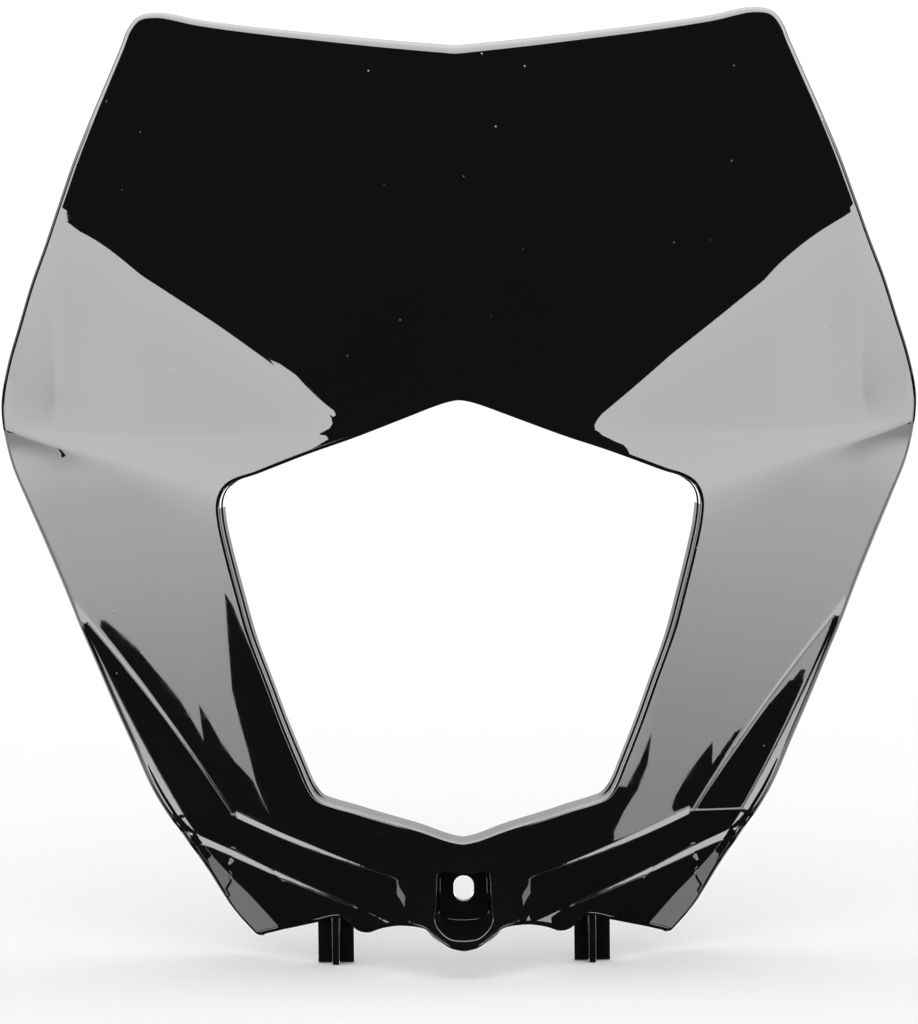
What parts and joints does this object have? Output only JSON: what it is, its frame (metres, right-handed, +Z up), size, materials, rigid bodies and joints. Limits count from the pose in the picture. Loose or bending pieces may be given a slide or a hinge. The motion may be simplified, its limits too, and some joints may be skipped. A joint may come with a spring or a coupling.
{
  "type": "headlight cowl",
  "caption": "Moulded gloss black motorbike headlight cowl: leaning plate area, swept wings, polygonal lens opening, chin pocket with an adjuster slot, ribbed lower lugs.",
  "frame": {"origin": "centre of the adjuster slot, on the front face of the slotted wall in the chin pocket", "axes": "+Z up as fitted, -Y out of the front of the cowl, +X to the right seen from the front; the cowl is symmetric about the YZ plane"},
  "size_m": [0.2858, 0.0861, 0.289],
  "materials": {
    "gloss_black": "polished moulded surface, faint dust and hairline scratches"
  },
  "bodies": {
    "root": {"headlight_cowl": "gloss_black"}
  },
  "joints": []
}
